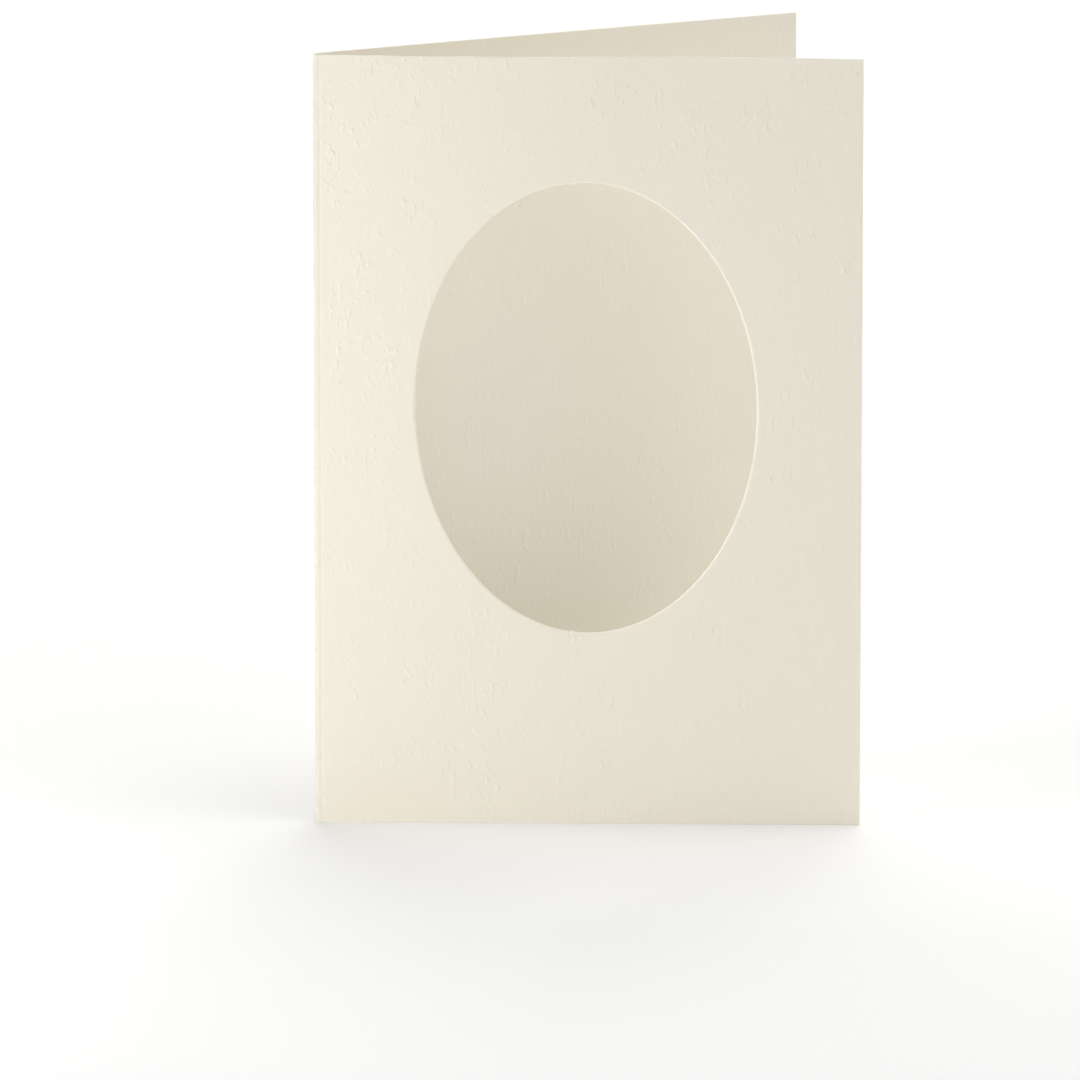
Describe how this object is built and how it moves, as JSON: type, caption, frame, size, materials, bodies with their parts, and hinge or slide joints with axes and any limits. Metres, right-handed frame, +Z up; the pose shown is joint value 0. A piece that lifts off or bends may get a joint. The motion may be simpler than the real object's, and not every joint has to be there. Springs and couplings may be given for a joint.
{
  "type": "folded card with oval window mount",
  "caption": "Single-fold ivory card with an oval window cut in its front leaf, standing open in a narrow V to frame a small picture.",
  "frame": {"origin": "middle of the card's footprint box, on the surface that it stands on", "axes": "+X along the front leaf away from the fold, +Y from the front leaf towards the rear leaf's free edge, +Z up along the fold"},
  "size_m": [0.105, 0.0532, 0.15],
  "materials": {
    "ivory_card": "uncoated felt-marked ivory card, matt"
  },
  "bodies": {
    "root": {"folded_card": "ivory_card"}
  },
  "joints": []
}
